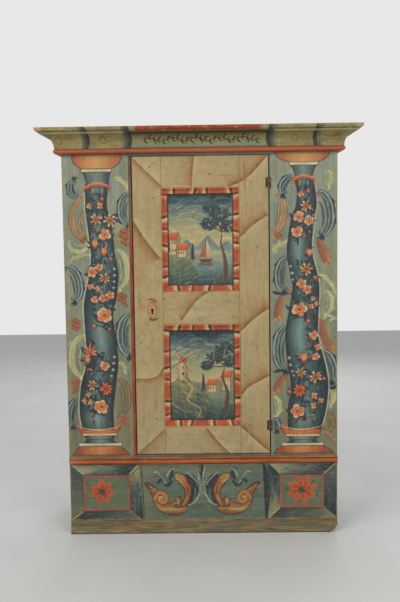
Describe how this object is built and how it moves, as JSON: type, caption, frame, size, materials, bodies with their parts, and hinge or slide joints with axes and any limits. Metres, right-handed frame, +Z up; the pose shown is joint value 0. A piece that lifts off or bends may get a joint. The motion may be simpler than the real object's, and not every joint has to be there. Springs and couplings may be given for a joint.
{
  "type": "painted one-door cupboard",
  "caption": "Painted one-door cupboard with a framed panel door, wide painted front boards, coved cornice, plinth, inner shelves, pin hinges and a box lock.",
  "frame": {"origin": "on the floor, under the middle of the width and of the depth with the cornice", "axes": "+Z up; +Y towards the back, so the door faces -Y; +X to the right as seen from the front"},
  "size_m": [1.394, 0.577, 1.804],
  "materials": {
    "front_paint": "aged distemper and oil paint on pine",
    "side_paint": "plain worn paint on pine",
    "red_paint": "worn orange-red paint on pine",
    "grey_blue_paint": "worn paint on pine",
    "cornice_paint": "marbled paint on pine",
    "weathered_pine": "paint worn down to the wood",
    "bare_pine": "unpainted planed pine",
    "door_paint": "marbled paint on pine",
    "picture_paint": "painted picture on pine",
    "moulding_paint": "streaked paint on pine",
    "iron": "rusty forged iron"
  },
  "bodies": {
    "case": {"left_front_board": "front_paint", "right_front_board": "front_paint", "plinth_board": "front_paint", "left_side_front_plank": "side_paint", "left_side_rear_plank": "side_paint", "right_side_front_plank": "side_paint", "right_side_rear_plank": "side_paint", "lock_jamb_bead": "red_paint", "plinth_moulding": "red_paint", "neck_bead_front": "red_paint", "neck_bead_left": "red_paint", "neck_bead_right": "red_paint", "head_rail": "grey_blue_paint", "threshold_rail": "grey_blue_paint", "door_head_strip": "grey_blue_paint", "cornice_front": "cornice_paint", "cornice_left": "cornice_paint", "cornice_right": "cornice_paint", "base_rail": "weathered_pine", "back_plank_1": "bare_pine", "back_plank_2": "bare_pine", "back_plank_3": "bare_pine", "back_plank_4": "bare_pine", "floor_board": "bare_pine", "floor_cleat_left": "bare_pine", "floor_cleat_right": "bare_pine", "roof_board_front": "bare_pine", "roof_board_rear": "bare_pine", "shelf_1": "bare_pine", "shelf_1_cleat_left": "bare_pine", "shelf_1_cleat_right": "bare_pine", "shelf_2": "bare_pine", "shelf_2_cleat_left": "bare_pine", "shelf_2_cleat_right": "bare_pine", "shelf_3": "bare_pine", "shelf_3_cleat_left": "bare_pine", "shelf_3_cleat_right": "bare_pine", "upper_hinge_case_leaf": "iron", "lower_hinge_case_leaf": "iron", "lock_keeper": "iron"},
    "door": {"door_bottom_rail": "door_paint", "door_lock_rail": "door_paint", "door_top_rail": "door_paint", "door_lock_stile": "door_paint", "door_hinge_stile": "door_paint", "door_lower_panel": "picture_paint", "door_upper_panel": "picture_paint", "lower_panel_moulding_top": "moulding_paint", "lower_panel_moulding_right": "moulding_paint", "lower_panel_moulding_bottom": "moulding_paint", "lower_panel_moulding_left": "moulding_paint", "upper_panel_moulding_top": "moulding_paint", "upper_panel_moulding_right": "moulding_paint", "upper_panel_moulding_bottom": "moulding_paint", "upper_panel_moulding_left": "moulding_paint", "upper_hinge_door_strap": "iron", "lower_hinge_door_strap": "iron", "lock_case": "iron"},
    "lock_bolt": {"lock_bolt": "iron"}
  },
  "joints": [
    {"name": "door_hinge", "type": "hinge", "parent": "case", "child": "door", "pos_m": [0.3025, -0.1915, 1.024], "axis": [0, 0, 1], "range_deg": [0, 170]},
    {"name": "lock_bolt_slide", "type": "slide", "parent": "door", "child": "lock_bolt", "axis": [-1, 0, 0], "range_m": [0, 0.028]}
  ]
}
